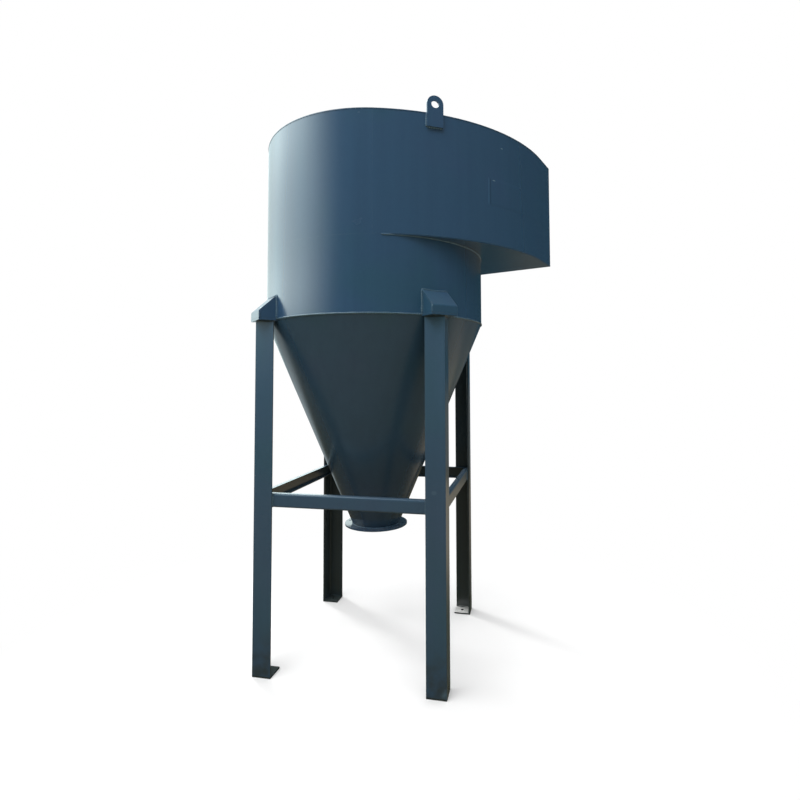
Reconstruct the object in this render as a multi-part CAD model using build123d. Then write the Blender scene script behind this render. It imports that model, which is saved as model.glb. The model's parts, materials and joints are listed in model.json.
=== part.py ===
from build123d import *
from math import cos, radians, sin, sqrt
import os

# Cyclone dust separator on four angle legs: a barrel with a volute inlet, a cone with a dust
# outlet below and a gas outlet through the roof. Millimetres, +Z up. The origin is on the floor,
# in the middle of the leg square. -Y is the front and the barrel's axis is the Z axis.

# Leg square, of rolled equal angles with their heels outwards, as wide as its share of the barrel
frame_width_share = 0.8
leg_flange = 100
leg_thickness = 10
leg_root_radius = 12
leg_toe_radius = 6
leg_height = 1802
foot_plate_thickness = 8
anchor_hole_diameter = 18

# Bracing ring, of bent channels with their webs lapped on the inner faces of the legs
brace_height = 70
brace_width = 28
brace_thickness = 5
brace_bend_radius = 5
brace_top_level = 920
brace_end_gap = 1

# Shell plates
shell_thickness = 5
roof_thickness = 5
barrel_diameter = 1250
lower_barrel_height = 380
cone_height = 1152
dust_outlet_diameter = 273

# Volute inlet. The scroll leaves the barrel at the start angle, in plan, about a centre that is
# offset behind the axis, and ends in a straight mouth that reaches past the barrel
inlet_height = 620
inlet_clear_width = 475
scroll_offset = 558
scroll_start_angle = -74.5
scroll_turn = 55.5
mouth_reach = 15

# Gas outlet pipe through the roof
outlet_pipe_diameter = 625
outlet_depth = 720
outlet_collar_height = 92

# Flanges
flange_thickness = 8
flange_hole_diameter = 14
dust_flange_width = 44.5
dust_hole_offset = 24.5
dust_hole_count = 8
outlet_flange_width = 50
outlet_hole_offset = 30
outlet_hole_count = 12

# Brackets, one over each leg, which reach out past its heel
bracket_width = 148
bracket_overhang = 6
bracket_base_thickness = 10
bracket_plate_thickness = 6
bracket_bend_radius = 6
bracket_end_height = 48
bracket_shell_height = 130

# Lifting lugs
lug_width = 86
lug_thickness = 12
lug_lap = 73
lug_rise = 42
lug_hole_diameter = 40
front_lug_turn = 15
rear_lug_angle = 135

# Small values that serve all cuts and seats
overrun = 20
seat_gap = 0.3

# Levels above the floor
leg_top = foot_plate_thickness + leg_height
barrel_bottom = leg_top + bracket_base_thickness
cone_bottom = barrel_bottom - cone_height
inlet_floor_level = barrel_bottom + lower_barrel_height
wall_base = inlet_floor_level + shell_thickness
roof_level = inlet_floor_level + inlet_height
wall_top = roof_level - roof_thickness

# Radii and plan places
heel = barrel_diameter * frame_width_share / 2
anchor_place = heel - (leg_thickness + leg_flange) / 2
barrel_radius = barrel_diameter / 2
barrel_bore_radius = barrel_radius - shell_thickness
outlet_pipe_radius = outlet_pipe_diameter / 2
dust_outlet_radius = dust_outlet_diameter / 2
scroll_radius = barrel_radius + scroll_offset
bracket_end = heel * sqrt(2) + bracket_overhang
mouth_angle = scroll_start_angle + 90 + scroll_turn


def in_plan(angle, distance):
    """A plan point at a distance from the axis, in the direction of an angle."""
    return Vector(distance * cos(radians(angle)), distance * sin(radians(angle)))


along_mouth = in_plan(mouth_angle, 1)
across_mouth = in_plan(mouth_angle - 90, 1)
scroll_centre = in_plan(scroll_start_angle, -scroll_offset)
scroll_end = scroll_centre + across_mouth * scroll_radius
mouth_distance = barrel_radius + mouth_reach
mouth_stub_length = mouth_distance - scroll_end.dot(along_mouth)
mouth_outer_side = scroll_end.dot(across_mouth)
mouth_inner_side = mouth_outer_side - shell_thickness - inlet_clear_width


def mouth_point(distance, side):
    """A plan point by its distance along the mouth's direction and its offset across it."""
    return along_mouth * distance + across_mouth * side


def ring(outer_radius, inner_radius, bottom, height):
    """An upright round wall or flat ring about the axis."""
    section = Circle(outer_radius) - Circle(inner_radius)
    return Pos(0, 0, bottom) * extrude(section, height)


def solid_cylinder(radius, bottom, height):
    return Pos(0, 0, bottom) * extrude(Circle(radius), height)


# Volute plan shapes
def scroll_path(inset):
    """The scroll's face in plan, less an inset: an arc tangent to the barrel, then the mouth."""
    arc = CenterArc(scroll_centre, scroll_radius - inset, scroll_start_angle, scroll_turn)
    stub = Line(arc @ 1, arc @ 1 + along_mouth * mouth_stub_length)
    return arc, stub


def volute_plan():
    """The whole inlet in plan, out to the outer faces of both its walls, lapping the barrel."""
    arc, stub = scroll_path(0)
    outer_corner = stub @ 1
    inner_side = mouth_inner_side - shell_thickness
    inner_corner = mouth_point(mouth_distance, inner_side)
    inner_end = mouth_point(0, inner_side)
    rest = Polyline(outer_corner, inner_corner, inner_end, arc @ 0)
    return make_face([arc, stub] + rest.edges())


def scroll_wall_plan():
    outer_arc, outer_stub = scroll_path(0)
    inner_arc, inner_stub = scroll_path(shell_thickness)
    start = Line(outer_arc @ 0, inner_arc @ 0)
    end = Line(outer_stub @ 1, inner_stub @ 1)
    return make_face([outer_arc, outer_stub, end, inner_stub, inner_arc, start])


def window_plan():
    """What is cut from the upper barrel, where the gas enters from the scroll."""
    reach = barrel_diameter
    fan = Polyline(
        Vector(0, 0),
        in_plan(scroll_start_angle, reach),
        in_plan(mouth_angle - 90, reach),
        close=True,
    )
    beside = Polyline(
        mouth_point(-reach, mouth_inner_side),
        mouth_point(-reach, reach),
        mouth_point(reach, reach),
        mouth_point(reach, mouth_inner_side),
        close=True,
    )
    return make_face(fan) + make_face(beside)


# Shell
def lower_barrel():
    return ring(barrel_radius, barrel_bore_radius, barrel_bottom, lower_barrel_height)


def upper_barrel():
    height = wall_top - inlet_floor_level
    wall = ring(barrel_radius, barrel_bore_radius, inlet_floor_level, height)
    window = Pos(0, 0, inlet_floor_level - overrun) * extrude(window_plan(), height + 2 * overrun)
    return wall - window


def cone_profile(top_radius, bottom_radius):
    return Polyline(
        (0, cone_bottom), (bottom_radius, cone_bottom), (top_radius, barrel_bottom), (0, barrel_bottom),
        close=True,
    )


def cone_body(inset):
    """The cone turned about the axis, solid, less an inset across its slope."""
    run = barrel_radius - dust_outlet_radius
    level_inset = inset * sqrt(run**2 + cone_height**2) / cone_height
    profile = cone_profile(barrel_radius - level_inset, dust_outlet_radius - level_inset)
    return revolve(Plane.XZ * make_face(profile), Axis.Z)


def cone_shell():
    return cone_body(0) - cone_body(shell_thickness)


def dust_bore_radius():
    run = barrel_radius - dust_outlet_radius
    return dust_outlet_radius - shell_thickness * sqrt(run**2 + cone_height**2) / cone_height


def inlet_floor():
    plan = volute_plan() - Circle(barrel_bore_radius)
    return Pos(0, 0, inlet_floor_level) * extrude(plan, shell_thickness) - upper_barrel()


def scroll_wall():
    return Pos(0, 0, wall_base) * extrude(scroll_wall_plan(), wall_top - wall_base)


def inlet_inner_wall():
    outer_side = mouth_inner_side - shell_thickness
    plan = Polyline(
        mouth_point(0, outer_side),
        mouth_point(0, mouth_inner_side),
        mouth_point(mouth_distance, mouth_inner_side),
        mouth_point(mouth_distance, outer_side),
        close=True,
    )
    section = make_face(plan) - Circle(barrel_radius)
    return Pos(0, 0, wall_base) * extrude(section, wall_top - wall_base)


def roof_plate():
    plan = Circle(barrel_radius) + volute_plan() - Circle(outlet_pipe_radius + seat_gap)
    return Pos(0, 0, wall_top) * extrude(plan, roof_thickness)


# Outlets
def outlet_pipe():
    bottom = roof_level - outlet_depth
    height = outlet_depth + outlet_collar_height
    return ring(outlet_pipe_radius, outlet_pipe_radius - shell_thickness, bottom, height)


def flange(outer_radius, bore_radius, hole_circle_radius, hole_count, bottom):
    """A flat ring with a circle of bolt holes."""
    holes = PolarLocations(hole_circle_radius, hole_count) * Circle(flange_hole_diameter / 2)
    section = Circle(outer_radius) - Circle(bore_radius) - holes
    return Pos(0, 0, bottom) * extrude(section, flange_thickness)


def outlet_flange():
    bore_radius = outlet_pipe_radius - shell_thickness
    outer_radius = outlet_pipe_radius + outlet_flange_width
    hole_circle_radius = outlet_pipe_radius + outlet_hole_offset
    bottom = roof_level + outlet_collar_height
    return flange(outer_radius, bore_radius, hole_circle_radius, outlet_hole_count, bottom)


def dust_flange():
    outer_radius = dust_outlet_radius + dust_flange_width
    hole_circle_radius = dust_outlet_radius + dust_hole_offset
    bottom = cone_bottom - flange_thickness
    return flange(outer_radius, dust_bore_radius(), hole_circle_radius, dust_hole_count, bottom)


# Legs and bracing
def rounded(section, corners, radius):
    """A flat section with the named corners filleted."""
    nearest = [section.vertices().sort_by_distance(corner)[0] for corner in corners]
    return fillet(nearest, radius)


def angle_section():
    """The legs' rolled angle, with its heel at the origin and its flanges along +X and +Y."""
    corner = Align.MIN
    outer = Rectangle(leg_flange, leg_flange, align=corner)
    hollow = Pos(leg_thickness, leg_thickness) * Rectangle(leg_flange, leg_flange, align=corner)
    section = rounded(outer - hollow, [(leg_thickness, leg_thickness)], leg_root_radius)
    toes = [(leg_flange, leg_thickness), (leg_thickness, leg_flange)]
    return rounded(section, toes, leg_toe_radius)


def channel_section():
    """The braces' bent channel, with the back of its web on the Y axis and its flanges along +X."""
    corner = (Align.MIN, Align.CENTER)
    half = brace_height / 2
    inner_half = half - brace_thickness
    outer = Rectangle(brace_width, brace_height, align=corner)
    hollow = Pos(brace_thickness, 0) * Rectangle(brace_width, 2 * inner_half, align=corner)
    inner_bends = [(brace_thickness, inner_half), (brace_thickness, -inner_half)]
    section = rounded(outer - hollow, inner_bends, brace_bend_radius)
    return rounded(section, [(0, half), (0, -half)], brace_bend_radius + brace_thickness)


def corner_leg():
    """The leg at the corner where X and Y are both least."""
    return Pos(-heel, -heel, foot_plate_thickness) * extrude(angle_section(), leg_height)


def corner_foot():
    plate = Pos(-heel, -heel) * Rectangle(leg_flange, leg_flange, align=Align.MIN)
    hole = Pos(-anchor_place, -anchor_place) * Circle(anchor_hole_diameter / 2)
    return extrude(plate - hole, foot_plate_thickness)


def front_brace():
    """The brace between the two front legs, its web on their inner faces and its flanges inward."""
    face = heel - leg_thickness
    middle = brace_top_level - brace_height / 2
    across = Plane(origin=(-face, -face, middle), x_dir=(0, 1, 0), z_dir=(1, 0, 0))
    bar = extrude(across * channel_section(), 2 * face)
    # Both ends are mitred clear of the legs' root fillets
    reach = face - leg_root_radius - brace_end_gap
    inner = reach - brace_width
    mitre = Polyline(
        (-reach, -face), (reach, -face), (inner, brace_width - face), (-inner, brace_width - face),
        close=True,
    )
    bottom = brace_top_level - brace_height - overrun
    between = Pos(0, 0, bottom) * extrude(make_face(mitre), brace_height + 2 * overrun)
    return bar & between


# Brackets, drawn reaching along +X and then turned to their corner
bracket_run = bracket_end - barrel_radius
bracket_rise = bracket_shell_height - bracket_end_height


def bracket_wedge():
    """The side view of a bracket above its base plate, lapping into the barrel, not yet bent."""
    slope = bracket_rise / bracket_run
    inner = barrel_radius - bracket_width / 2
    end_top = leg_top + bracket_end_height
    inner_top = leg_top + bracket_shell_height + slope * (barrel_radius - inner)
    outline = Polyline(
        (inner, barrel_bottom), (bracket_end, barrel_bottom), (bracket_end, end_top), (inner, inner_top),
        close=True,
    )
    return make_face(outline)


def with_bend(view, radius):
    """A side view with the corner between its slope and its end rounded."""
    corner = view.vertices().sort_by_distance((bracket_end, leg_top + bracket_end_height))[0]
    return fillet(corner, radius)


def bracket_inside():
    """The side view inside the bent cover."""
    slant = sqrt(bracket_rise**2 + bracket_run**2)
    drop = bracket_plate_thickness * (slant - bracket_rise) / bracket_run
    wedge = bracket_wedge()
    return with_bend((Pos(-bracket_plate_thickness, -drop) * wedge) & wedge, bracket_bend_radius)


def beside_barrel(shape):
    return shape - solid_cylinder(barrel_radius, barrel_bottom - overrun, lower_barrel_height)


def bracket_cover():
    outside = with_bend(bracket_wedge(), bracket_bend_radius + bracket_plate_thickness)
    strip = outside - bracket_inside()
    return beside_barrel(extrude(Plane.XZ * strip, bracket_width / 2, both=True))


def bracket_gusset(side):
    place = side * (bracket_width - bracket_plate_thickness) / 2
    plate = extrude(Plane.XZ * bracket_inside(), bracket_plate_thickness / 2, both=True)
    return beside_barrel(Pos(0, place, 0) * plate)


def bracket_base():
    inner = barrel_radius - bracket_width / 2
    plan = Pos(inner, 0) * Rectangle(bracket_end - inner, bracket_width, align=(Align.MIN, Align.CENTER))
    return Pos(0, 0, leg_top) * extrude(plan, bracket_base_thickness) - cone_body(0)


# Lugs
def lug(wall_centre, wall_radius, angle):
    """A flat lug with a round top and an eye, lapped on the outside of a round wall."""
    out = in_plan(angle, 1)
    eye = wall_centre + out * (wall_radius + seat_gap) + Vector(0, 0, roof_level + lug_rise)
    face = Plane(origin=eye, x_dir=in_plan(angle + 90, 1), z_dir=out)
    shank_height = lug_rise + lug_lap
    shank = Rectangle(lug_width, shank_height, align=(Align.CENTER, Align.MAX))
    outline = shank + Circle(lug_width / 2) - Circle(lug_hole_diameter / 2)
    return extrude(face * outline, lug_thickness)


def front_lug():
    return lug(scroll_centre, scroll_radius, scroll_start_angle + front_lug_turn)


def rear_lug():
    return lug(Vector(0, 0, 0), barrel_radius, rear_lug_angle)


os.makedirs("parts", exist_ok=True)

pieces = {
    "lower_barrel": lower_barrel(),
    "upper_barrel": upper_barrel(),
    "cone": cone_shell(),
    "inlet_floor": inlet_floor(),
    "scroll_wall": scroll_wall(),
    "inlet_inner_wall": inlet_inner_wall(),
    "roof_plate": roof_plate(),
    "outlet_pipe": outlet_pipe(),
    "outlet_flange": outlet_flange(),
    "dust_flange": dust_flange(),
    "front_lug": front_lug(),
    "rear_lug": rear_lug(),
}

# Corners in turn, anticlockwise from the front left, and the side that each one leads to
corners = ["front_left", "front_right", "back_right", "back_left"]
sides = ["front", "right", "back", "left"]
for turn, (corner, side) in enumerate(zip(corners, sides)):
    quarter = Rot(0, 0, 90 * turn)
    pieces[f"{corner}_leg"] = quarter * corner_leg()
    pieces[f"{corner}_foot_plate"] = quarter * corner_foot()
    pieces[f"{side}_brace"] = quarter * front_brace()
    facing = Rot(0, 0, 90 * turn - 135)
    pieces[f"{corner}_bracket_base"] = facing * bracket_base()
    pieces[f"{corner}_bracket_cover"] = facing * bracket_cover()
    pieces[f"{corner}_bracket_gusset_a"] = facing * bracket_gusset(-1)
    pieces[f"{corner}_bracket_gusset_b"] = facing * bracket_gusset(1)

for name, shape in pieces.items():
    export_step(shape, f"parts/{name}.step")
    print(name, "made")
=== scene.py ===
import json
import math
import bpy
import numpy as np
from mathutils import Matrix, Vector


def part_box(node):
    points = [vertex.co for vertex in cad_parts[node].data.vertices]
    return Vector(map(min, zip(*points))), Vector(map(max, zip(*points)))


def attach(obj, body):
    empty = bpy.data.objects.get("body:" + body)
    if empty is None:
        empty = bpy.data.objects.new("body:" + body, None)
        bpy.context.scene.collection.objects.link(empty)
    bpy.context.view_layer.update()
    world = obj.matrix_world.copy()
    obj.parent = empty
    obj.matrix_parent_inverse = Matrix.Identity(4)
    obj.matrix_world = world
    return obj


# Looks of a cyclone dust separator: slate blue paint on rolled plate, weld beads at its joints,
# and a studio round it. Metres, +Z up, -Y to the front

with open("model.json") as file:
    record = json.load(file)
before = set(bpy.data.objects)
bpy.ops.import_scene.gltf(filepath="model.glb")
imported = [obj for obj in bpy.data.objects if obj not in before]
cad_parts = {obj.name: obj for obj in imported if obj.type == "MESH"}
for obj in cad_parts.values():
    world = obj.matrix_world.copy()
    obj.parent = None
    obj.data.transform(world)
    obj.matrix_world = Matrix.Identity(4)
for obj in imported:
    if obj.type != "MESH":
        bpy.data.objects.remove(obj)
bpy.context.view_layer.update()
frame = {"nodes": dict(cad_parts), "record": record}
nodes = frame["nodes"]
print("frame loaded with", len(nodes), "pieces")


# Camera. Its focal length and picture centre are in pixels of the 800 x 800 picture
cameraView = {
    "place": (0.907, -2.910, 1.496),
    "yaw": 11.87,
    "pitch": 2.64,
    "roll": -0.23,
    "focal": 509.0,
    "centre": (424.7, 356.9),
    "picture": 800.0,
    "sensor": 36.0,
}


def placeCamera(view):
    yaw = math.radians(view["yaw"])
    pitch = math.radians(view["pitch"])
    ahead = Vector((-math.sin(yaw) * math.cos(pitch), math.cos(yaw) * math.cos(pitch), math.sin(pitch)))
    level = Vector((math.cos(yaw), math.sin(yaw), 0))
    turned = Matrix.Rotation(-math.radians(view["roll"]), 3, ahead)
    right = turned @ level
    above = right.cross(ahead)
    data = bpy.data.cameras.new("camera")
    data.sensor_width = view["sensor"]
    data.lens = view["sensor"] * view["focal"] / view["picture"]
    middle = view["picture"] / 2
    data.shift_x = (middle - view["centre"][0]) / view["picture"]
    data.shift_y = (view["centre"][1] - middle) / view["picture"]
    camera = bpy.data.objects.new("camera", data)
    axes = Matrix((right, above, -ahead)).transposed()
    camera.matrix_world = Matrix.Translation(view["place"]) @ axes.to_4x4()
    bpy.context.scene.collection.objects.link(camera)
    bpy.context.scene.camera = camera


placeCamera(cameraView)
bpy.context.scene.view_settings.view_transform = "Standard"
print("camera placed")


# Sizes that the marks and beads follow. Most are an end of a node's box in the frame, to the micrometre
boxDigits = 6


def lowest(node, axis):
    return round(getattr(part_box(node)[0], axis), boxDigits)


def highest(node, axis):
    return round(getattr(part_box(node)[1], axis), boxDigits)


shell = {
    "barrel": highest("lower_barrel", "x"),
    "barrelBottom": lowest("lower_barrel", "z"),
    "coneFoot": 0.1365,
    "coneBottom": lowest("cone", "z"),
    "floorLevel": lowest("inlet_floor", "z"),
    "roofLevel": highest("roof_plate", "z"),
    "plate": 0.005,
    "pipe": highest("outlet_pipe", "x"),
    "pipeFlange": lowest("outlet_flange", "z"),
    "scrollOffset": 0.558,
    "scrollStart": -74.5,
    "scrollTurn": 55.5,
    "mouthReach": 0.015,
    "inletWidth": 0.475,
}
wallTop = shell["roofLevel"] - shell["plate"]
legTop = highest("front_left_leg", "z")
footTop = highest("front_left_foot_plate", "z")
fullTurn = 360
quarterTurn = 90


def planPoint(degrees, distance):
    turn = math.radians(degrees)
    return np.array([math.cos(turn), math.sin(turn)]) * distance


# The volute in plan. Its wall is an arc about a centre set back behind the axis, so that it leaves the
# barrel on the tangent, and it ends where its radius stands square to the mouth's direction. Each side
# of the mouth is given by its place across that direction. The centre and the side are rounded
centreDigits = 4
sideDigits = 5
scrollRadius = shell["barrel"] + shell["scrollOffset"]
scrollCentre = np.round(planPoint(shell["scrollStart"], -shell["scrollOffset"]), centreDigits)
scrollEnd = shell["scrollStart"] + shell["scrollTurn"]
acrossMouth = planPoint(scrollEnd, 1)
alongMouth = planPoint(scrollEnd + quarterTurn, 1)
mouthDistance = shell["barrel"] + shell["mouthReach"]
mouthOuter = scrollRadius - shell["scrollOffset"] * math.cos(math.radians(shell["scrollTurn"]))
mouthOuter = round(mouthOuter, sideDigits)
mouthInner = mouthOuter - 2 * shell["plate"] - shell["inletWidth"]

# Where the mouth's inner wall meets the barrel
innerMeet = math.sqrt(shell["barrel"] ** 2 - mouthInner**2)
innerFoot = alongMouth * innerMeet + acrossMouth * mouthInner
innerTurn = math.degrees(math.atan2(innerFoot[1], innerFoot[0]))


# Shader maths. A Wire is one output of a node, and sums and products of wires add Math nodes
class Wire:
    def __init__(self, board, socket):
        self.board = board
        self.socket = socket

    # Another output of the same node
    def beside(self, outlet):
        return Wire(self.board, self.socket.node.outputs[outlet])

    def __add__(self, other):
        return self.board.maths("ADD", self, other)

    def __radd__(self, other):
        return self.board.maths("ADD", other, self)

    def __sub__(self, other):
        return self.board.maths("SUBTRACT", self, other)

    def __rsub__(self, other):
        return self.board.maths("SUBTRACT", other, self)

    def __mul__(self, other):
        return self.board.maths("MULTIPLY", self, other)

    def __rmul__(self, other):
        return self.board.maths("MULTIPLY", other, self)


# The nodes of one material or world
class Board:
    def __init__(self, tree):
        self.tree = tree
        tree.nodes.clear()

    # Any node: its type, its settings, the values or links of its sockets, and which output to give
    def add(self, kind, settings=None, sockets=None, outlet=0):
        node = self.tree.nodes.new("ShaderNode" + kind)
        for name, value in (settings or {}).items():
            setattr(node, name, value)
        for name, value in (sockets or {}).items():
            self.feed(node.inputs[name], value)
        return Wire(self, node.outputs[outlet]) if node.outputs else None

    def feed(self, socket, value):
        if isinstance(value, Wire):
            self.tree.links.new(value.socket, socket)
        elif socket.type == "RGBA":
            socket.default_value = (*value, 1.0)
        else:
            socket.default_value = value

    def maths(self, operation, *values):
        return self.add("Math", {"operation": operation}, dict(enumerate(values)))

    def vectors(self, operation, *values):
        return self.add("VectorMath", {"operation": operation}, dict(enumerate(values)))

    # Vector maths whose answer is a number
    def measure(self, operation, *values):
        return self.add("VectorMath", {"operation": operation}, dict(enumerate(values)), "Value")

    # Two colours by a share. The Mix node's sockets go by number, because their names repeat
    def blend(self, share, first, second, way="MIX"):
        settings = {"data_type": "RGBA", "blend_type": way}
        return self.add("Mix", settings, {0: share, 6: first, 7: second}, outlet=2)

    # A smooth change from 0 at the first value to 1 at the second, which may be the smaller one
    def rise(self, value, first, second):
        settings = {"interpolation_type": "SMOOTHSTEP"}
        return self.add("MapRange", settings, {"Value": value, "From Min": first, "From Max": second})

    def noise(self, place, scale, detail=3.0, rough=0.55):
        sockets = {"Vector": place, "Scale": scale, "Detail": detail, "Roughness": rough}
        return self.add("TexNoise", None, sockets)

    # Patches where a noise rises
    def patches(self, place, noise, rise):
        return self.rise(self.noise(place, *noise), *rise)


# The way from one number to another by a share
def between(share, first, last):
    return first + share * (last - first)


def newMaterial(name):
    material = bpy.data.materials.new(name)
    material.use_nodes = True
    return material, Board(material.node_tree)


# Paint. Colours are linear, lengths are in metres, and shares run from 0 to 1. A noise is its scale,
# detail and roughness. A rise, fall or facing is the two values between which a share goes from 0 to 1
noiseMiddle = 0.5
paintLook = {
    "slate": (0.026, 0.073, 0.147),
    "teal": (0.023, 0.077, 0.131),
    "violet": (0.030, 0.067, 0.150),
    "broadNoise": (1.7, 2.0),
    "tealRise": (0.50, 0.68),
    "tealShare": 0.7,
    "violetRise": (0.48, 0.32),
    "violetShare": 0.5,
    "runStretch": (22.0, 22.0, 1.1),
    "runNoise": (1.0, 3.0),
    "runShare": 0.16,
    "mottleNoise": (55.0, 4.0, 0.6),
    "mottleShare": 0.10,
    "tones": (1.0, 1.0),
    "toneRise": (0.9, 1.7),
    "crease": None,
    "lowTint": None,
    "thin": (0.085, 0.110, 0.130),
    "edgeReach": 0.0025,
    "edgeSamples": 6,
    "edgeRise": (0.02, 0.22),
    "patchNoise": (38.0, 5.0, 0.65),
    "patchRise": (0.46, 0.66),
    "wear": 0.45,
    "wearLeast": 0.25,
    "wearMatte": 0.15,
    "bareAndGlint": (0.175, 0.290, 0.350),
    "raggedNoise": (160.0, 4.0, 0.7),
    "beadRise": (0.30, 0.60),
    "beadWearAndGlint": 0.75,
    "beadGloss": 0.10,
    "scuffs": (),
    "scuffRagged": 1.2,
    "scuffFall": (1.0, 0.55),
    "dust": (0.330, 0.330, 0.310),
    "dustFacing": (0.55, 0.95),
    "dustNoise": (13.0, 6.0, 0.65),
    "dustRise": (0.15, 0.80),
    "dustShare": 0.18,
    "dustMatte": 0.35,
    "grimeAndShade": (0.014, 0.019, 0.023),
    "grimeFall": (0.32, 0.0),
    "grimeNoise": (16.0, 4.0),
    "grimeRise": (0.30, 0.70),
    "grimeShare": 0.55,
    "grimeMatte": 0.2,
    "hollowShadeFacing": (-0.2, -0.4),
    "hollowShadeShare": 0.0,
    "shadeBands": (),
    "paleDustAndLightColour": (0.720, 0.720, 0.700),
    "paleDustAndLightFacing": (0.6, 0.9),
    "paleDustAndLightLeast": 0.75,
    "paleDustAndLight": None,
    "roughness": 0.25,
    "roughnessNoise": (6.0, 4.0),
    "roughnessSpread": 0.10,
    "lowGloss": None,
    "index": 1.6,
    "coat": 1.0,
    "coatRoughness": 0.22,
    "wave": 0.0035,
    "waveNoise": (2.0, 1.0),
    "peel": 0.00003,
    "peelNoise": (330.0, 1.0),
}


# An upright crease in the volute's wall: a small step in its relief, with a painted highlight line and a
# painted shade line beside it
def creaseMark(board, place, crease):
    away = board.vectors("SUBTRACT", place, (*scrollCentre, 0.0))
    away = board.add("SeparateXYZ", None, {"Vector": away})
    turn = board.maths("ARCTAN2", away.beside("Y"), away) - math.radians(crease["turn"])
    along = turn * scrollRadius
    level = away.beside("Z")
    width = crease["width"]
    within = board.rise(level, *crease["low"]) * board.rise(level, *crease["high"])
    # A painted highlight line on one side of the step and a painted shade line on the other
    light = board.rise(along, -2 * width, -width) * board.rise(along, 0.0, -width)
    dark = board.rise(along, 0.0, width) * board.rise(along, 2 * width, width)
    step = board.rise(along, -width, width) * within * crease["step"]
    return step, (light - dark) * within * crease["contrast"]


# The clean paint: broad shifts between slate, teal and violet, faint runs down the plate, a fine mottle,
# a change of tone with height, which on the legs is painted light that makes their tops lighter, and the
# crease with its painted highlight and shade. It gives the colour and the crease's step
def cleanPaint(board, look, place, height):
    broad = board.noise(place, *look["broadNoise"])
    teal = board.rise(broad, *look["tealRise"]) * look["tealShare"]
    violet = board.rise(broad, *look["violetRise"]) * look["violetShare"]
    colour = board.blend(violet, board.blend(teal, look["slate"], look["teal"]), look["violet"])
    runs = board.noise(board.vectors("MULTIPLY", place, look["runStretch"]), *look["runNoise"])
    mottle = board.noise(place, *look["mottleNoise"])
    shade = 1.0 + (runs - noiseMiddle) * look["runShare"] + (mottle - noiseMiddle) * look["mottleShare"]
    # Tone by height; on the legs it is painted light, lighter at their tops
    shade = shade * between(board.rise(height, *look["toneRise"]), *look["tones"])
    step = 0.0
    if look["crease"]:
        # The crease's painted highlight and shade lines
        step, line = creaseMark(board, place, look["crease"])
        shade = shade + line
    grey = board.add("CombineColor", None, {"Red": shade, "Green": shade, "Blue": shade})
    colour = board.blend(1.0, colour, grey, "MULTIPLY")
    if look["lowTint"]:
        below = board.rise(height, *look["lowTint"]["fall"])
        colour = board.blend(below, colour, look["lowTint"]["tint"], "MULTIPLY")
    return colour, step


# Worn edges: where the rounded normal leaves the true one, broken up by patches
def wornShare(board, look, rounded, patchy):
    alike = board.measure("DOT_PRODUCT", rounded, board.add("NewGeometry", outlet="Normal"))
    edge = board.rise(1.0 - alike, *look["edgeRise"])
    return edge * between(patchy, look["wearLeast"], 1.0) * look["wear"]


# Bare touches on weld crests, partly wear and partly painted glints, and at scuffs, each scuff an egg about
# its centre with a ragged edge
def bareShare(board, look, place, bead):
    ragged = board.noise(place, *look["raggedNoise"])
    touched = bead * board.rise(ragged, *look["beadRise"]) * look["beadWearAndGlint"]
    for scuff in look["scuffs"]:
        away = board.vectors("DIVIDE", board.vectors("SUBTRACT", place, scuff["centre"]), scuff["reach"])
        distance = board.measure("LENGTH", away) + (ragged - noiseMiddle) * look["scuffRagged"]
        touched = board.maths("MAXIMUM", touched, board.rise(distance, *look["scuffFall"]) * scuff["share"])
    return touched


# Painted shade on faces that look back at the axis, as in a leg's hollow, bands of painted shade that begin
# at a level, and pale dust that lies about a point, which also stands for a painted pool of light
def paintedShadeAndDust(board, look, colour, place, height, facing, patchy):
    inward = board.measure("DOT_PRODUCT", board.vectors("MULTIPLY", place, (1, 1, 0)), facing)
    # Painted shade on the faces in the legs' hollows
    hollowShade = board.rise(inward, *look["hollowShadeFacing"]) * look["hollowShadeShare"]
    colour = board.blend(hollowShade, colour, look["grimeAndShade"])
    # Bands of painted shade: a painted shadow under the brackets' bases and painted shade on the foot plates
    for shadeBand in look["shadeBands"]:
        colour = board.blend(board.rise(height, *shadeBand["rise"]) * shadeBand["share"], colour, look["grimeAndShade"])
    # Pale dust about a point, which is also a painted pool of light
    if look["paleDustAndLight"]:
        away = board.measure("DISTANCE", place, look["paleDustAndLight"]["centre"])
        upward = board.add("SeparateXYZ", None, {"Vector": facing}, "Z")
        near = board.rise(away, *look["paleDustAndLight"]["fall"]) * board.rise(upward, *look["paleDustAndLightFacing"])
        colour = board.blend(near * between(patchy, look["paleDustAndLightLeast"], 1.0), colour, look["paleDustAndLightColour"])
    return colour


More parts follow.
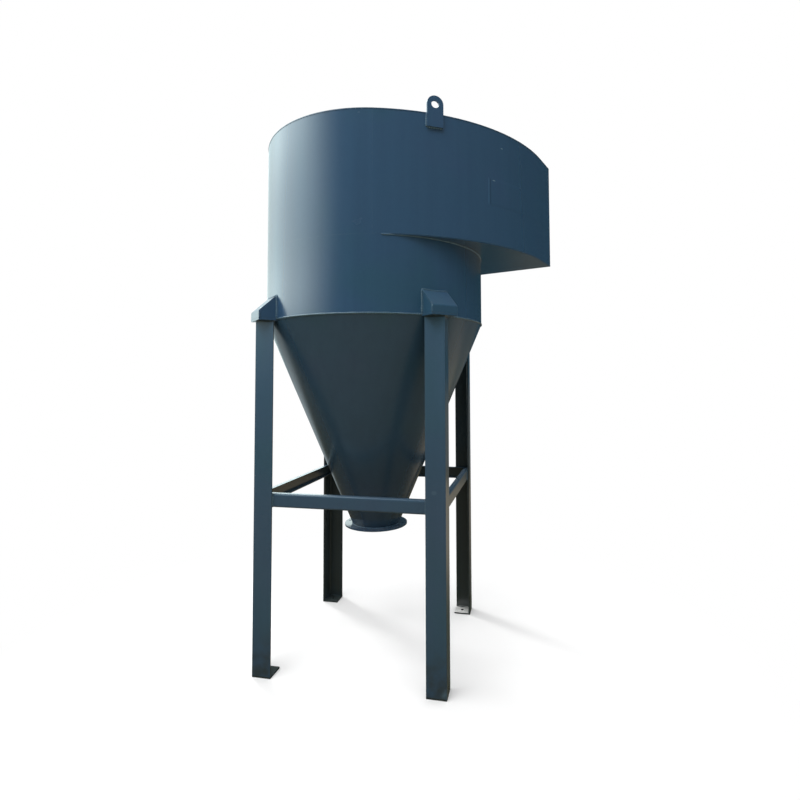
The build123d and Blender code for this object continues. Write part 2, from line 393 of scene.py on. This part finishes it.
def paintMaterial(name, changes):
    look = {**paintLook, **changes}
    material, board = newMaterial(name)
    place = board.add("TexCoord", outlet="Object")
    height = board.add("SeparateXYZ", None, {"Vector": place}, "Z")
    facing = board.add("TexCoord", outlet="Normal")
    upward = board.add("SeparateXYZ", None, {"Vector": facing}, "Z")
    bead = board.add("Attribute", {"attribute_name": "bead"}, outlet="Fac")
    rounded = board.add("Bevel", {"samples": look["edgeSamples"]}, {"Radius": look["edgeReach"]})
    patchy = board.patches(place, look["patchNoise"], look["patchRise"])

    colour, step = cleanPaint(board, look, place, height)
    worn = wornShare(board, look, rounded, patchy)
    colour = board.blend(worn, colour, look["thin"])
    colour = board.blend(bareShare(board, look, place, bead), colour, look["bareAndGlint"])

    # Dust lies on what faces up, and grime gathers on the lowest stretch
    lying = board.rise(upward, *look["dustFacing"])
    lying = lying * board.patches(place, look["dustNoise"], look["dustRise"])
    colour = board.blend(lying * look["dustShare"], colour, look["dust"])
    low = board.rise(height, *look["grimeFall"])
    low = low * board.patches(place, look["grimeNoise"], look["grimeRise"])
    colour = board.blend(low * look["grimeShare"], colour, look["grimeAndShade"])
    colour = paintedShadeAndDust(board, look, colour, place, height, facing, patchy)

    # The gloss is duller where the paint is worn, dusty or grimy
    uneven = board.noise(place, *look["roughnessNoise"]) - noiseMiddle
    roughness = look["roughness"] + uneven * look["roughnessSpread"] + worn * look["wearMatte"]
    roughness = roughness + lying * look["dustMatte"] + low * look["grimeMatte"] - bead * look["beadGloss"]
    coat = look["coat"]
    if look["lowGloss"]:
        below = board.rise(height, *look["lowGloss"]["fall"])
        roughness = between(below, roughness, look["lowGloss"]["roughness"])
        coat = coat * (1.0 - below)

    # Relief: the plate's slow waves, the paint's fine skin and the crease, over softened edges
    waves = board.noise(place, *look["waveNoise"]) * look["wave"]
    skin = board.noise(place, *look["peelNoise"]) * look["peel"]
    bump = {"Strength": 1.0, "Distance": 1.0, "Height": waves + skin + step, "Normal": rounded}
    surface = board.add("BsdfPrincipled", None, {
        "Base Color": colour,
        "Roughness": roughness,
        "IOR": look["index"],
        "Coat Weight": coat,
        "Coat Roughness": look["coatRoughness"],
        "Coat IOR": look["index"],
        "Normal": board.add("Bump", None, bump),
    })
    board.add("OutputMaterial", None, {"Surface": surface})
    return material


# The cone is greyer than the barrel. The flange below it is smooth and has no clear coat
levelBlur = 0.002
shellMarks = {
    "tones": (0.72, 1.0),
    "toneRise": (0.7, 1.5),
    "lowTint": {
        "fall": (shell["barrelBottom"] + levelBlur, shell["barrelBottom"] - levelBlur),
        "tint": (1.0, 0.945, 0.85),
    },
    "lowGloss": {
        "fall": (shell["coneBottom"] + 2 * levelBlur, shell["coneBottom"] + levelBlur),
        "roughness": 0.08,
    },
    "edgeReach": 0.0006,
    "scuffs": (
        {"centre": (0.726, -0.258, 2.544), "reach": (0.012, 0.012, 0.003), "share": 0.7},
        {"centre": (0.766, -0.212, 2.732), "reach": (0.010, 0.010, 0.003), "share": 0.7},
    ),
    "crease": {
        "turn": -43.8,
        "width": 0.006,
        "step": 0.0012,
        "contrast": 0.35,
        "low": (2.405, 2.425),
        "high": (2.560, 2.540),
    },
}
bracketMarks = {
    "wave": 0.0008,
    "edgeReach": 0.004,
    "dustShare": 0.10,
    "roughness": 0.30,
    "coat": 0.85,
    "scuffs": ({"centre": (0.450, -0.556, 1.853), "reach": (0.005, 0.005, 0.004), "share": 0.8},),
}

# The legs' heads and the foot plates are darkened: a painted shadow under each bracket's base and painted
# shade on the plates, and the plates are matte. On one lies pale dust, also a painted pool of light. The
# legs' hollows get painted shade, and their tops are lighter with painted light
legMarks = {
    "slate": (0.032, 0.076, 0.129),
    "teal": (0.028, 0.081, 0.119),
    "violet": (0.037, 0.073, 0.137),
    # Lighter at the tops and darker lower down: painted light from above
    "tones": (0.93, 1.10),
    "wear": 0.6,
    "dustShare": 0.06,
    "grimeAndShade": (0.020, 0.029, 0.026),
    "grimeShare": 0.80,
    "hollowShadeShare": 0.8,
    "shadeBands": (
        # A painted shadow under the bracket's base at each leg's head
        {"rise": (legTop - 0.011, legTop - 0.005), "share": 0.85},
        # Painted shade on the foot plates
        {"rise": (footTop + 0.0010, footTop + 0.0002), "share": 0.9},
    ),
    "lowGloss": {"fall": (footTop + 0.0010, footTop + 0.0002), "roughness": 0.9},
    # Pale dust on the back right foot plate, also a painted pool of light
    "paleDustAndLight": {"centre": (0.45, 0.45, 0.0), "fall": (0.16, 0.12)},
    "roughness": 0.33,
    "wave": 0.0010,
    "scuffs": (
        {"centre": (0.496, -0.500, 0.012), "reach": (0.034, 0.020, 0.050), "share": 0.30},
        {"centre": (0.443, -0.500, 0.959), "reach": (0.016, 0.010, 0.012), "share": 0.12},
    ),
}
paints = {
    "shell_paint": paintMaterial("shellPaint", shellMarks),
    "bracket_paint": paintMaterial("bracketPaint", bracketMarks),
    "leg_paint": paintMaterial("legPaint", legMarks),
}
for part in frame["record"]["subparts"]:
    node = nodes[part["node"]]
    node.data.materials.clear()
    node.data.materials.append(paints[part["material_slot"]])


# Weld beads. Each is a closed tube along a joint, half sunk in its plates. With s along the joint and
# t around the tube, point(s, t) = path(s) + size * swell(s, t) * (cos t * side(s) + sin t * out(s)).
# The swell is 1 + ripple * sin(2 pi s / pitch - lag * cos^2 t) + drift * sin(2 pi s / driftPitch), which
# makes crescents, times sqrt(q * (2 - q)) near an open end, where q is the way from the end in tapers.
# The mesh attribute bead holds how worn the crests are and where they glint: their bare colour is partly wear
# and partly a painted highlight. It is crestLeast + (1 - crestLeast) * sin(2 pi s / crestPitch) where that
# sine is above 0, less on small beads, and none up to the first crest size
weldLook = {
    "step": 0.00125,
    "fewestSteps": 8,
    "around": 8,
    "pitch": 0.005,
    "ripple": 0.10,
    "lag": 1.4,
    "driftPitch": 0.083,
    "drift": 0.10,
    "taper": 1.6,
    "crestPitch": 0.012,
    "crestLeast": 0.25,
    "crestSizes": (0.0015, 0.0045),
}


def unit(rows):
    return rows / np.linalg.norm(rows, axis=-1, keepdims=True)


def swellOf(run, turn, size, closed, look):
    swell = 1 + look["ripple"] * np.sin(2 * math.pi * run / look["pitch"] - look["lag"] * np.cos(turn) ** 2)
    swell += look["drift"] * np.sin(2 * math.pi * run / look["driftPitch"])
    if not closed:
        way = np.clip(np.minimum(run, run[-1] - run) / (look["taper"] * size), 0, 1)
        swell *= np.sqrt(way * (2 - way))
    return swell


def crestsOf(run, size, look):
    small, large = look["crestSizes"]
    crests = between(np.clip(np.sin(2 * math.pi * run / look["crestPitch"]), 0, 1), look["crestLeast"], 1)
    return crests * np.clip((size - small) / (large - small), 0, 1)


# Four-sided faces from each ring of a tube to the next, and at open ends a fan to a point of its own
def tubeFaces(rings, around, closed):
    grid = np.arange(rings * around).reshape(rings, around)
    own = grid if closed else grid[:-1]
    following = np.roll(grid, -1, 0) if closed else grid[1:]
    quads = np.stack([own, np.roll(own, -1, 1), np.roll(following, -1, 1), following], -1).reshape(-1, 4)
    if closed:
        return quads, np.zeros((0, 3), int)
    first, last = rings * around, rings * around + 1
    start = np.stack([np.full(around, first), np.roll(grid[0], -1), grid[0]], -1)
    end = np.stack([np.full(around, last), grid[-1], np.roll(grid[-1], -1)], -1)
    return quads, np.vstack([start, end])


def beadTube(path, out, size, closed, look):
    ahead = np.roll(path, -1, 0) - np.roll(path, 1, 0)
    if not closed:
        ahead[0] = path[1] - path[0]
        ahead[-1] = path[-1] - path[-2]
    ahead = unit(ahead)
    side = unit(np.cross(out, ahead))
    out = np.cross(ahead, side)
    steps = np.linalg.norm(np.diff(path, axis=0), axis=1)
    run = np.concatenate([[0.0], np.cumsum(steps)])[:, None]
    turn = np.arange(look["around"])[None, :] * 2 * math.pi / look["around"]
    ways = np.cos(turn)[:, :, None] * side[:, None] + np.sin(turn)[:, :, None] * out[:, None]
    tube = path[:, None] + (size * swellOf(run, turn, size, closed, look))[:, :, None] * ways
    crests = crestsOf(run, size, look)
    if not closed:
        tube, crests = tube[1:-1], crests[1:-1]
    quads, corners = tubeFaces(len(tube), look["around"], closed)
    points = tube.reshape(-1, 3)
    crests = np.repeat(crests, look["around"])
    if not closed:
        points = np.vstack([points, path[:1], path[-1:]])
        crests = np.append(crests, [0.0, 0.0])
    return points, quads, corners, crests


def addBeads(name, slotName, beads):
    points, quads, corners, crests, count = [], [], [], [], 0
    for path, out, size, closed in beads:
        tubePoints, tubeQuads, tubeCorners, tubeCrests = beadTube(path, out, size, closed, weldLook)
        points.append(tubePoints)
        quads.append(tubeQuads + count)
        corners.append(tubeCorners + count)
        crests.append(tubeCrests)
        count += len(tubePoints)
    mesh = bpy.data.meshes.new(name)
    mesh.from_pydata(np.vstack(points).tolist(), [], np.vstack(quads).tolist() + np.vstack(corners).tolist())
    mesh.polygons.foreach_set("use_smooth", np.ones(len(mesh.polygons), bool))
    mesh.attributes.new("bead", "FLOAT", "POINT").data.foreach_set("value", np.concatenate(crests))
    piece = bpy.data.objects.new(name, mesh)
    piece.data.materials.append(paints[slotName])
    bpy.context.scene.collection.objects.link(piece)
    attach(piece, "root")
    print(name, "has", len(beads), "beads and", len(mesh.polygons), "faces")


# A bead on the arc centre + radius * (cos a, sin a), at one level and from one angle to another in
# degrees. The weld's lift says where its open side looks, as shares outwards and upwards
def roundBead(centre, radius, level, first, last, weld):
    closed = last - first == fullTurn
    length = math.radians(last - first) * radius
    turns = np.radians(np.linspace(first, last, int(length / weldLook["step"]), endpoint=not closed))
    away = np.stack([np.cos(turns), np.sin(turns), np.zeros_like(turns)], 1)
    path = away * radius + np.array([*centre, level])
    outwards, upwards = weld["lift"]
    return path, away * outwards + np.array([0.0, 0.0, upwards]), weld["size"], closed


# A bead round the barrel's axis, on a full ring or on an arc of it
def axisBead(radius, level, weld, first=0, last=fullTurn):
    return roundBead((0.0, 0.0), radius, level, first, last, weld)


# A bead on the line start + share * (end - start), whose open side looks to out
def straightBead(start, end, out, size):
    start, end = np.array(start), np.array(end)
    steps = max(int(np.linalg.norm(end - start) / weldLook["step"]), weldLook["fewestSteps"])
    path = start + (end - start) * np.linspace(0, 1, steps)[:, None]
    return path, np.tile(np.array(out, float), (steps, 1)), size, False


# The same bead, turned about the barrel's axis
def turnedBead(bead, degrees):
    path, out, size, closed = bead
    turn = np.array(Matrix.Rotation(math.radians(degrees), 3, "Z"))
    return path @ turn.T, out @ turn.T, size, closed


# A point by its distance along the mouth's direction and its place across it, at a level
def mouthPoint(distance, across, level):
    return [*(alongMouth * distance + acrossMouth * across), level]


# The volute's edge at a level: its arc, the short straight run to the mouth, and the inner wall's edge
def voluteBeads(level, weld, late=0.0):
    arc = roundBead(scrollCentre, scrollRadius, level, shell["scrollStart"] + late, scrollEnd, weld)
    arcEnd, arcOut = arc[0][-1], arc[1][-1]
    outer = straightBead(arcEnd, mouthPoint(mouthDistance, mouthOuter, level), arcOut, weld["size"])
    innerStart = mouthPoint(innerMeet, mouthInner, level)
    innerEnd = mouthPoint(mouthDistance, mouthInner, level)
    innerOut = arcOut * np.array([-1.0, -1.0, 1.0])
    return [arc, outer, straightBead(innerStart, innerEnd, innerOut, weld["size"])]


# Beads of the barrel, the cone and the volute's floor. The cone's bead lies sunk in the barrel's lower
# edge, inwards and downwards, and the volute's start some degrees late, where it has left the barrel
shellWelds = {
    "cone": {"size": 0.0048, "lift": (1.0, -0.3)},
    "coneSunk": (0.0015, 0.0010),
    "floor": {"size": 0.0045, "lift": (1.0, -1.0)},
    "rim": {"size": 0.0016, "lift": (1.0, 0.0)},
    "late": 4.0,
    "wallSize": 0.0040,
    "wallLift": (0.2, 2.0),
    "dustFlange": {"size": 0.0035, "lift": (1.0, 0.6)},
    "seamSize": 0.0022,
    "barrelSeam": 160.0,
    "coneSeam": 75.0,
}


# The long seams where the rolled plates close, both at the back
def seamBeads(weld):
    low = shell["barrelBottom"]
    way = np.array([*planPoint(weld["barrelSeam"], 1), 0.0])
    edge = planPoint(weld["barrelSeam"], shell["barrel"])
    barrelBead = straightBead([*edge, low], [*edge, wallTop], way, weld["seamSize"])
    way = np.array([*planPoint(weld["coneSeam"], 1), 0.0])
    foot = np.array([*planPoint(weld["coneSeam"], shell["coneFoot"]), shell["coneBottom"]])
    head = np.array([*planPoint(weld["coneSeam"], shell["barrel"]), low])
    out = unit(np.cross(np.cross(head - foot, way), head - foot))
    return [barrelBead, straightBead(foot, head, out, weld["seamSize"])]


def makeShellBeads(weld):
    barrel, floorLevel = shell["barrel"], shell["floorLevel"]
    inwards, downwards = weld["coneSunk"]
    start = shell["scrollStart"] + weld["late"]
    beads = [axisBead(barrel - inwards, shell["barrelBottom"] - downwards, weld["cone"])]
    beads += [axisBead(barrel, floorLevel, weld["floor"], start, innerTurn)]
    beads += voluteBeads(floorLevel + shell["plate"], weld["rim"], weld["late"])
    wallOut = [*(innerFoot * weld["wallLift"]), 0.0]
    beads += [straightBead([*innerFoot, floorLevel], [*innerFoot, wallTop], wallOut, weld["wallSize"])]
    beads += [axisBead(shell["coneFoot"], shell["coneBottom"], weld["dustFlange"])]
    beads += seamBeads(weld)
    addBeads("shellBeads", "shell_paint", beads)


roofWelds = {
    "rim": {"size": 0.0016, "lift": (1.0, 0.0)},
    "pipe": {"size": 0.0045, "lift": (1.0, 1.0)},
    "pipeFlange": {"size": 0.0035, "lift": (1.0, -1.0)},
}


def makeRoofBeads(weld):
    beads = [axisBead(shell["barrel"], wallTop, weld["rim"], innerTurn, fullTurn + shell["scrollStart"])]
    beads += voluteBeads(wallTop, weld["rim"])
    beads += [axisBead(shell["pipe"], shell["roofLevel"], weld["pipe"])]
    beads += [axisBead(shell["pipe"], shell["pipeFlange"], weld["pipeFlange"])]
    addBeads("roofBeads", "shell_paint", beads)


# Lugs lap the wall, with a bead down each side and one below. The front one stands some degrees past the
# volute's start, and the rear one at an angle from +X
lugShape = {
    "half": 0.043,
    "bottom": lowest("front_lug", "z"),
    "frontTurn": 15.0,
    "rearTurn": 135.0,
    "weld": {"size": 0.0050, "lift": (1.0, -1.0)},
}


def lugBeads(centre, radius, turn, shape):
    reach = math.degrees(shape["half"] / radius)
    beads = [roundBead(centre, radius, shape["bottom"], turn - reach, turn + reach, shape["weld"])]
    for side in (-1, 1):
        edge = turn + side * reach
        place = planPoint(edge, radius) + centre
        out = [*(planPoint(edge, 1) + planPoint(edge + quarterTurn, side)), 0.0]
        bottom, top = [*place, shape["bottom"]], [*place, wallTop]
        beads.append(straightBead(bottom, top, out, shape["weld"]["size"]))
    return beads


def makeLugBeads(shape):
    beads = lugBeads(scrollCentre, scrollRadius, shell["scrollStart"] + shape["frontTurn"], shape)
    beads += lugBeads((0.0, 0.0), shell["barrel"], shape["rearTurn"], shape)
    addBeads("lugBeads", "shell_paint", beads)


# Bracket beads, drawn on a bracket that reaches along +X and turned to the four corners. A real one
# stands at 45 degrees, so the outermost X of its cover gives its reach
bracketShape = {
    "half": 0.074,
    "plate": 0.006,
    "base": highest("front_left_bracket_base", "z"),
    "outermost": -lowest("front_left_bracket_cover", "x"),
    "endHeight": 0.048,
    "shellHeight": 0.130,
    "wallWeld": 0.0065,
    "wallLift": 0.9,
    "coverWeld": 0.0040,
    "coverLift": 0.8,
    "endWeld": 0.0025,
    "endLift": 0.5,
}


def makeBracketBeads(shape):
    barrel, half, base = shell["barrel"], shape["half"], shape["base"]
    reach = shape["outermost"] * math.sqrt(2) - half
    slope = (shape["shellHeight"] - shape["endHeight"]) / (reach - barrel)

    # Where the cover's slope meets the barrel, across its width
    across = np.linspace(-half, half, int(2 * half / weldLook["step"]))
    along = np.sqrt(barrel**2 - across**2)
    path = np.stack([along, across, legTop + shape["shellHeight"] + slope * (barrel - along)], 1)
    away = np.stack([along / barrel, across / barrel, np.full_like(across, shape["coverLift"])], 1)
    beads = [(path, away, shape["coverWeld"], False)]

    # Up each gusset, at the barrel and at the cover's bent end
    wall, wallHead = along[0], path[0, 2]
    end = reach - shape["plate"]
    endHead = legTop + shape["endHeight"] - shape["plate"] / 2
    for side in (-1, 1):
        edge = side * half
        out = (shape["wallLift"], side, 0.0)
        beads.append(straightBead([wall, edge, base], [wall, edge, wallHead], out, shape["wallWeld"]))
        out = (shape["endLift"], side, 0.0)
        beads.append(straightBead([end, edge, base], [end, edge, endHead], out, shape["endWeld"]))
    angles = [quarterTurn * (corner + 1 / 2) for corner in range(4)]
    addBeads("bracketBeads", "bracket_paint", [turnedBead(bead, angle) for angle in angles for bead in beads])


# Beads of the leg at the corner where X and Y are both least, turned to the four corners: two at its
# head, two at its foot and two at the braces
legShape = {
    "heel": -lowest("front_left_leg", "x"),
    "flange": 0.100,
    "thick": 0.010,
    "braceTop": highest("front_brace", "z"),
    "braceDepth": 0.070,
    "topWeld": 0.0018,
    "footWeld": 0.0040,
    "braceWeld": 0.0045,
}


def makeLegBeads(shape):
    heel, thick = shape["heel"], shape["thick"]
    toe, inner = heel - shape["flange"], heel - thick
    far = -toe - thick
    low, high = shape["braceTop"] - shape["braceDepth"], shape["braceTop"]
    rows = [
        ([-heel, -heel + thick, legTop], [-heel, far, legTop], (-1, 0, -1), shape["topWeld"]),
        ([far, -heel, legTop], [-heel + thick, -heel, legTop], (0, -1, -1), shape["topWeld"]),
        ([-inner, -inner + thick, footTop], [-inner, far, footTop], (1, 0, 1), shape["footWeld"]),
        ([-inner + thick, -inner, footTop], [far, -inner, footTop], (0, 1, 1), shape["footWeld"]),
        ([-toe, -inner, low], [-toe, -inner, high], (1, -1, 0), shape["braceWeld"]),
        ([-inner, -toe, low], [-inner, -toe, high], (-1, 1, 0), shape["braceWeld"]),
    ]
    beads = [straightBead(*row) for row in rows]
    angles = [quarterTurn * corner for corner in range(4)]
    addBeads("legBeads", "leg_paint", [turnedBead(bead, angle) for angle in angles for bead in beads])


makeShellBeads(shellWelds)
makeRoofBeads(roofWelds)
makeLugBeads(lugShape)
makeBracketBeads(bracketShape)
makeLegBeads(legShape)


# Studio. The backdrop is white to the camera, in glass and in gloss. As light it is stronger from above
worldLight = {
    "horizon": 0.18,
    "zenith": 1.30,
    "rise": (-0.05, 0.85),
}


def makeWorld(values):
    world = bpy.data.worlds.new("studio")
    world.use_nodes = True
    bpy.context.scene.world = world
    board = Board(world.node_tree)
    direct = board.add("LightPath", outlet="Is Camera Ray")
    seen = direct + direct.beside("Is Glossy Ray") + direct.beside("Is Transmission Ray")
    upward = board.add("SeparateXYZ", None, {"Vector": board.add("TexCoord", outlet="Generated")}, "Z")
    ambient = between(board.rise(upward, *values["rise"]), values["horizon"], values["zenith"])
    strength = between(board.maths("MINIMUM", seen, 1.0), ambient, 1.0)
    backdrop = board.add("Background", None, {"Color": (1.0, 1.0, 1.0), "Strength": strength})
    board.add("OutputWorld", None, {"Surface": backdrop})


def addStage(name, points, faces, material):
    mesh = bpy.data.meshes.new(name)
    mesh.from_pydata(points, [], faces)
    thing = bpy.data.objects.new(name, mesh)
    thing.data.materials.append(material)
    bpy.context.scene.collection.objects.link(thing)
    return thing


# The floor is pale to the camera and fades to white. The light that it throws back is warm, and weaker
# close to the legs. Gloss sees the mirrored room's own floor instead
floorLook = {
    "reach": 14.0,
    "pale": (0.80, 0.80, 0.80),
    "fade": (0.7, 2.1),
    "warm": (0.50, 0.42, 0.29),
    "shaded": (0.16, 0.13, 0.09),
    "warmRise": (0.5, 2.2),
}


def makeFloor(values):
    material, board = newMaterial("floorPaper")
    away = board.measure("LENGTH", board.add("TexCoord", outlet="Object"))
    direct = board.add("LightPath", outlet="Is Camera Ray")
    thrown = board.blend(board.rise(away, *values["warmRise"]), values["shaded"], values["warm"])
    paper = board.add("BsdfDiffuse", None, {"Color": board.blend(direct, thrown, values["pale"])})
    white = board.add("Emission", None, {"Color": (1.0, 1.0, 1.0), "Strength": 1.0})
    far = board.rise(away, *values["fade"]) * direct
    surface = board.add("MixShader", None, {0: far, 1: paper, 2: white})
    board.add("OutputMaterial", None, {"Surface": surface})
    reach = values["reach"]
    corners = [(-reach, -reach, 0.0), (reach, -reach, 0.0), (reach, reach, 0.0), (-reach, reach, 0.0)]
    floor = addStage("floorSheet", corners, [(0, 1, 2, 3)], material)
    floor.visible_glossy = False


# What gloss mirrors: a round room with a bright side to the left, a shaded wall to the front and right,
# and a dark floor with a warm pale band low at the back right. Turns are degrees from +X towards +Y, a
# foot or top is the levels over which a light begins or ends, and across and depth are along X and Y
roomLook = {
    "reach": 6.0,
    "height": 9.0,
    "steps": 96,
    "floorDrop": 0.002,
    "frontTurn": (-103.0, -156.0),
    "frontFoot": (1.6, 2.8),
    "backTurn": (105.0, 110.0),
    "backShare": 0.52,
    "softTurn": (145.0, 178.0),
    "glareTurn": (134.0, 130.0),
    "brightFoot": (0.9, 2.0),
    "brightShade": (1.42, 1.74, 1.74),
    "patchShade": (1.52, 1.74, 1.70),
    "patchNoise": (0.30, 3.0),
    "patchRise": (0.42, 0.60),
    "highRise": (4.2, 6.0),
    "highShare": 0.5,
    "lowFall": (3.7, 2.9),
    "lowShare": 0.30,
    "wallShade": (0.018, 0.050, 0.075),
    "hazeShade": (0.100, 0.105, 0.095),
    "hazeAcross": (0.2, 1.0),
    "hazeDepth": (0.4, 2.6),
    "hazeTop": (1.6, 1.0),
    "floorShade": (0.066, 0.062, 0.036),
    "bandShade": (0.30, 0.26, 0.19),
    "bandLine": (0.5, 7.0),
    "bandEdge": (-0.3, 0.2),
    "bandDepth": (0.2, 1.9),
    "bandEnd": (4.9, 4.3),
    "leftShade": (0.34, 0.40, 0.42),
    "leftAcross": (-0.7, -1.8),
    "leftDepth": (1.0, 2.4),
    "leftTop": (1.4, 0.7),
}


def roomMaterial(values):
    material, board = newMaterial("mirroredRoom")
    place = board.add("TexCoord", outlet="Object")
    across = board.add("SeparateXYZ", None, {"Vector": place})
    depth, level = across.beside("Y"), across.beside("Z")
    turn = board.maths("DEGREES", board.maths("ARCTAN2", depth, across))

    # The bright side, softer at the back but for one glare
    soft = between(board.rise(turn, *values["softTurn"]), values["backShare"], 1.0)
    back = board.maths("MAXIMUM", soft, board.rise(turn, *values["glareTurn"]))
    front = board.rise(turn, *values["frontTurn"]) * board.rise(level, *values["frontFoot"])
    bright = front + board.rise(turn, *values["backTurn"]) * back
    bright = bright * board.rise(level, *values["brightFoot"])

    # The wall with its haze, the floor with its band, and a pale stretch low at the back left
    haze = board.rise(across, *values["hazeAcross"]) * board.rise(depth, *values["hazeDepth"])
    wall = board.blend(haze * board.rise(level, *values["hazeTop"]), values["wallShade"], values["hazeShade"])
    lineStart, lineSlope = values["bandLine"]
    band = board.rise((across - lineStart) * lineSlope - depth, *values["bandEdge"])
    band = band * board.rise(depth, *values["bandDepth"]) * board.rise(depth, *values["bandEnd"])
    floor = board.blend(band, values["floorShade"], values["bandShade"])
    colour = board.blend(board.rise(level, values["floorDrop"], 0.0), wall, floor)
    left = board.rise(across, *values["leftAcross"]) * board.rise(depth, *values["leftDepth"])
    colour = board.blend(left * board.rise(level, *values["leftTop"]), colour, values["leftShade"])

    patches = board.patches(place, values["patchNoise"], values["patchRise"])
    light = board.blend(patches, values["brightShade"], values["patchShade"])
    gain = board.rise(level, *values["highRise"]) * values["highShare"]
    gain = gain + board.rise(level, *values["lowFall"]) * values["lowShare"]
    glow = {"Color": board.blend(bright, colour, light), "Strength": 1.0 + gain * bright}
    board.add("OutputMaterial", None, {"Surface": board.add("Emission", None, glow)})
    return material


# A drum between two rings of points, (reach cos t, reach sin t), whose floor is just under the studio's
def makeMirroredRoom(values):
    turns = np.linspace(0, 2 * math.pi, values["steps"], endpoint=False)
    low = np.stack([np.cos(turns), np.sin(turns), np.zeros_like(turns)], 1) * values["reach"]
    low -= np.array([0.0, 0.0, values["floorDrop"]])
    high = low + np.array([0.0, 0.0, values["height"]])
    ring = np.arange(len(turns))
    above = ring + len(turns)
    sides = np.stack([ring, np.roll(ring, -1), np.roll(above, -1), above], -1)
    faces = sides.tolist() + [ring.tolist(), above.tolist()]
    room = addStage("mirroredRoom", np.vstack([low, high]).tolist(), faces, roomMaterial(values))
    room.visible_camera = False
    room.visible_diffuse = False
    room.visible_shadow = False
    room.visible_transmission = False


# Soft lamps, each with the width and height of its face. The power grows with the face, so that the
# level is its brightness
lamps = {
    "leftLamp": {"place": (-3.2, -2.0, 5.6), "aim": (0.0, 0.0, 1.6), "face": (4.0, 3.0), "level": 2.0},
    "frontLamp": {"place": (-0.4, -3.4, 6.8), "aim": (0.0, 0.0, 1.5), "face": (3.0, 2.2), "level": 8.0},
    "backLamp": {"place": (-4.6, 3.4, 5.2), "aim": (0.0, 0.0, 1.2), "face": (1.2, 1.2), "level": 40.0},
    "topLamp": {"place": (-0.4, 0.4, 6.5), "aim": (0.0, 0.0, 0.0), "face": (3.0, 3.0), "level": 1.6},
}


def addLamp(name, values):
    data = bpy.data.lights.new(name, "AREA")
    data.shape = "RECTANGLE"
    data.size, data.size_y = values["face"]
    data.energy = values["level"] * data.size * data.size_y * math.pi
    lamp = bpy.data.objects.new(name, data)
    place = Vector(values["place"])
    lamp.rotation_euler = (Vector(values["aim"]) - place).to_track_quat("-Z", "Y").to_euler()
    lamp.location = place
    lamp.visible_camera = False
    lamp.visible_glossy = False
    bpy.context.scene.collection.objects.link(lamp)


makeWorld(worldLight)
makeFloor(floorLook)
makeMirroredRoom(roomLook)
for name, values in lamps.items():
    addLamp(name, values)
print("studio set with", len(lamps), "lamps")
